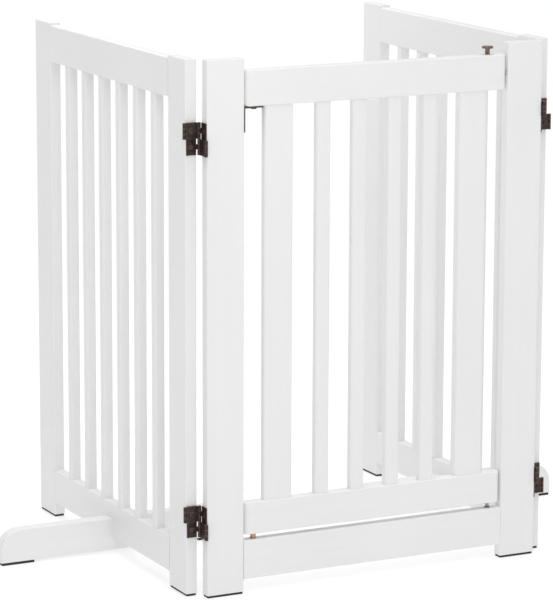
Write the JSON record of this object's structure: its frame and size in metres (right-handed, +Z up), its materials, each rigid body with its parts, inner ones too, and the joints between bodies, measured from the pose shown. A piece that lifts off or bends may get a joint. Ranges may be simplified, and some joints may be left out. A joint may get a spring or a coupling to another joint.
{
  "type": "pet gate",
  "caption": "Free-standing folding wooden pet gate with a barred swinging door in the centre panel and a folding side panel on each side.",
  "frame": {"origin": "centre of the footprint on the floor, with the side panels standing square to the back", "axes": "+X along the centre panel to the right, +Y to the back, +Z up"},
  "size_m": [0.93, 0.5606, 0.762],
  "materials": {
    "white_paint": "satin white paint",
    "bronze_steel": "dark bronze plating",
    "copper_pin": "satin copper",
    "rubber_pad": "matt black"
  },
  "bodies": {
    "centre_frame": {"centre_floor_pads": "rubber_pad", "centre_left_post": "white_paint", "centre_right_post": "white_paint", "centre_sill": "white_paint", "frame_left_hinge_leaf": "bronze_steel", "frame_left_hinge_link": "bronze_steel", "frame_left_hinge_pins": "bronze_steel", "frame_left_hinge_screws": "bronze_steel", "frame_right_hinge_leaf": "bronze_steel", "frame_right_hinge_link": "bronze_steel", "frame_right_hinge_pins": "bronze_steel", "frame_right_hinge_screws": "bronze_steel", "latch_keeper": "bronze_steel", "lower_pivot_pin": "copper_pin", "pivot_bracket": "bronze_steel", "pivot_bracket_screws": "bronze_steel", "sill_ferrule": "bronze_steel", "upper_pivot_pin": "bronze_steel"},
    "door": {"door_bar_1": "white_paint", "door_bar_2": "white_paint", "door_bar_3": "white_paint", "door_bar_4": "white_paint", "door_bottom_rail": "white_paint", "door_left_slat": "white_paint", "door_right_slat": "white_paint", "door_top_rail": "white_paint"},
    "latch_bolt": {"latch_bolt": "bronze_steel"},
    "drop_pin": {"drop_pin": "bronze_steel"},
    "left_panel": {"left_bottom_rail": "white_paint", "left_far_post": "white_paint", "left_floor_pads": "rubber_pad", "left_foot": "white_paint", "left_near_post": "white_paint", "left_panel_hinge_leaf": "bronze_steel", "left_panel_hinge_link": "bronze_steel", "left_panel_hinge_pins": "bronze_steel", "left_panel_hinge_screws": "bronze_steel", "left_spindle_1": "white_paint", "left_spindle_2": "white_paint", "left_spindle_3": "white_paint", "left_spindle_4": "white_paint", "left_spindle_5": "white_paint", "left_spindle_6": "white_paint", "left_top_rail": "white_paint"},
    "right_panel": {"right_bottom_rail": "white_paint", "right_far_post": "white_paint", "right_floor_pads": "rubber_pad", "right_foot": "white_paint", "right_near_post": "white_paint", "right_panel_hinge_leaf": "bronze_steel", "right_panel_hinge_link": "bronze_steel", "right_panel_hinge_pins": "bronze_steel", "right_panel_hinge_screws": "bronze_steel", "right_spindle_1": "white_paint", "right_spindle_2": "white_paint", "right_spindle_3": "white_paint", "right_spindle_4": "white_paint", "right_spindle_5": "white_paint", "right_spindle_6": "white_paint", "right_top_rail": "white_paint"}
  },
  "joints": [
    {"name": "left_fold", "type": "hinge", "parent": "centre_frame", "child": "left_panel", "pos_m": [-0.26925, -0.25543, 0.3], "axis": [0, 0, 1], "range_deg": [-18, 90]},
    {"name": "right_fold", "type": "hinge", "parent": "centre_frame", "child": "right_panel", "pos_m": [0.26925, -0.25543, 0.3], "axis": [0, 0, -1], "range_deg": [-18, 90]},
    {"name": "door_swing", "type": "hinge", "parent": "centre_frame", "child": "door", "pos_m": [-0.1913, -0.26667, 0.3], "axis": [0, 0, -1], "range_deg": [0, 95]},
    {"name": "bolt_slide", "type": "slide", "parent": "door", "child": "latch_bolt", "axis": [0, 0, 1], "range_m": [-0.0085, 0.012]},
    {"name": "drop_pin_slide", "type": "slide", "parent": "door", "child": "drop_pin", "axis": [0, 0, 1], "range_m": [-0.01, 0]}
  ]
}
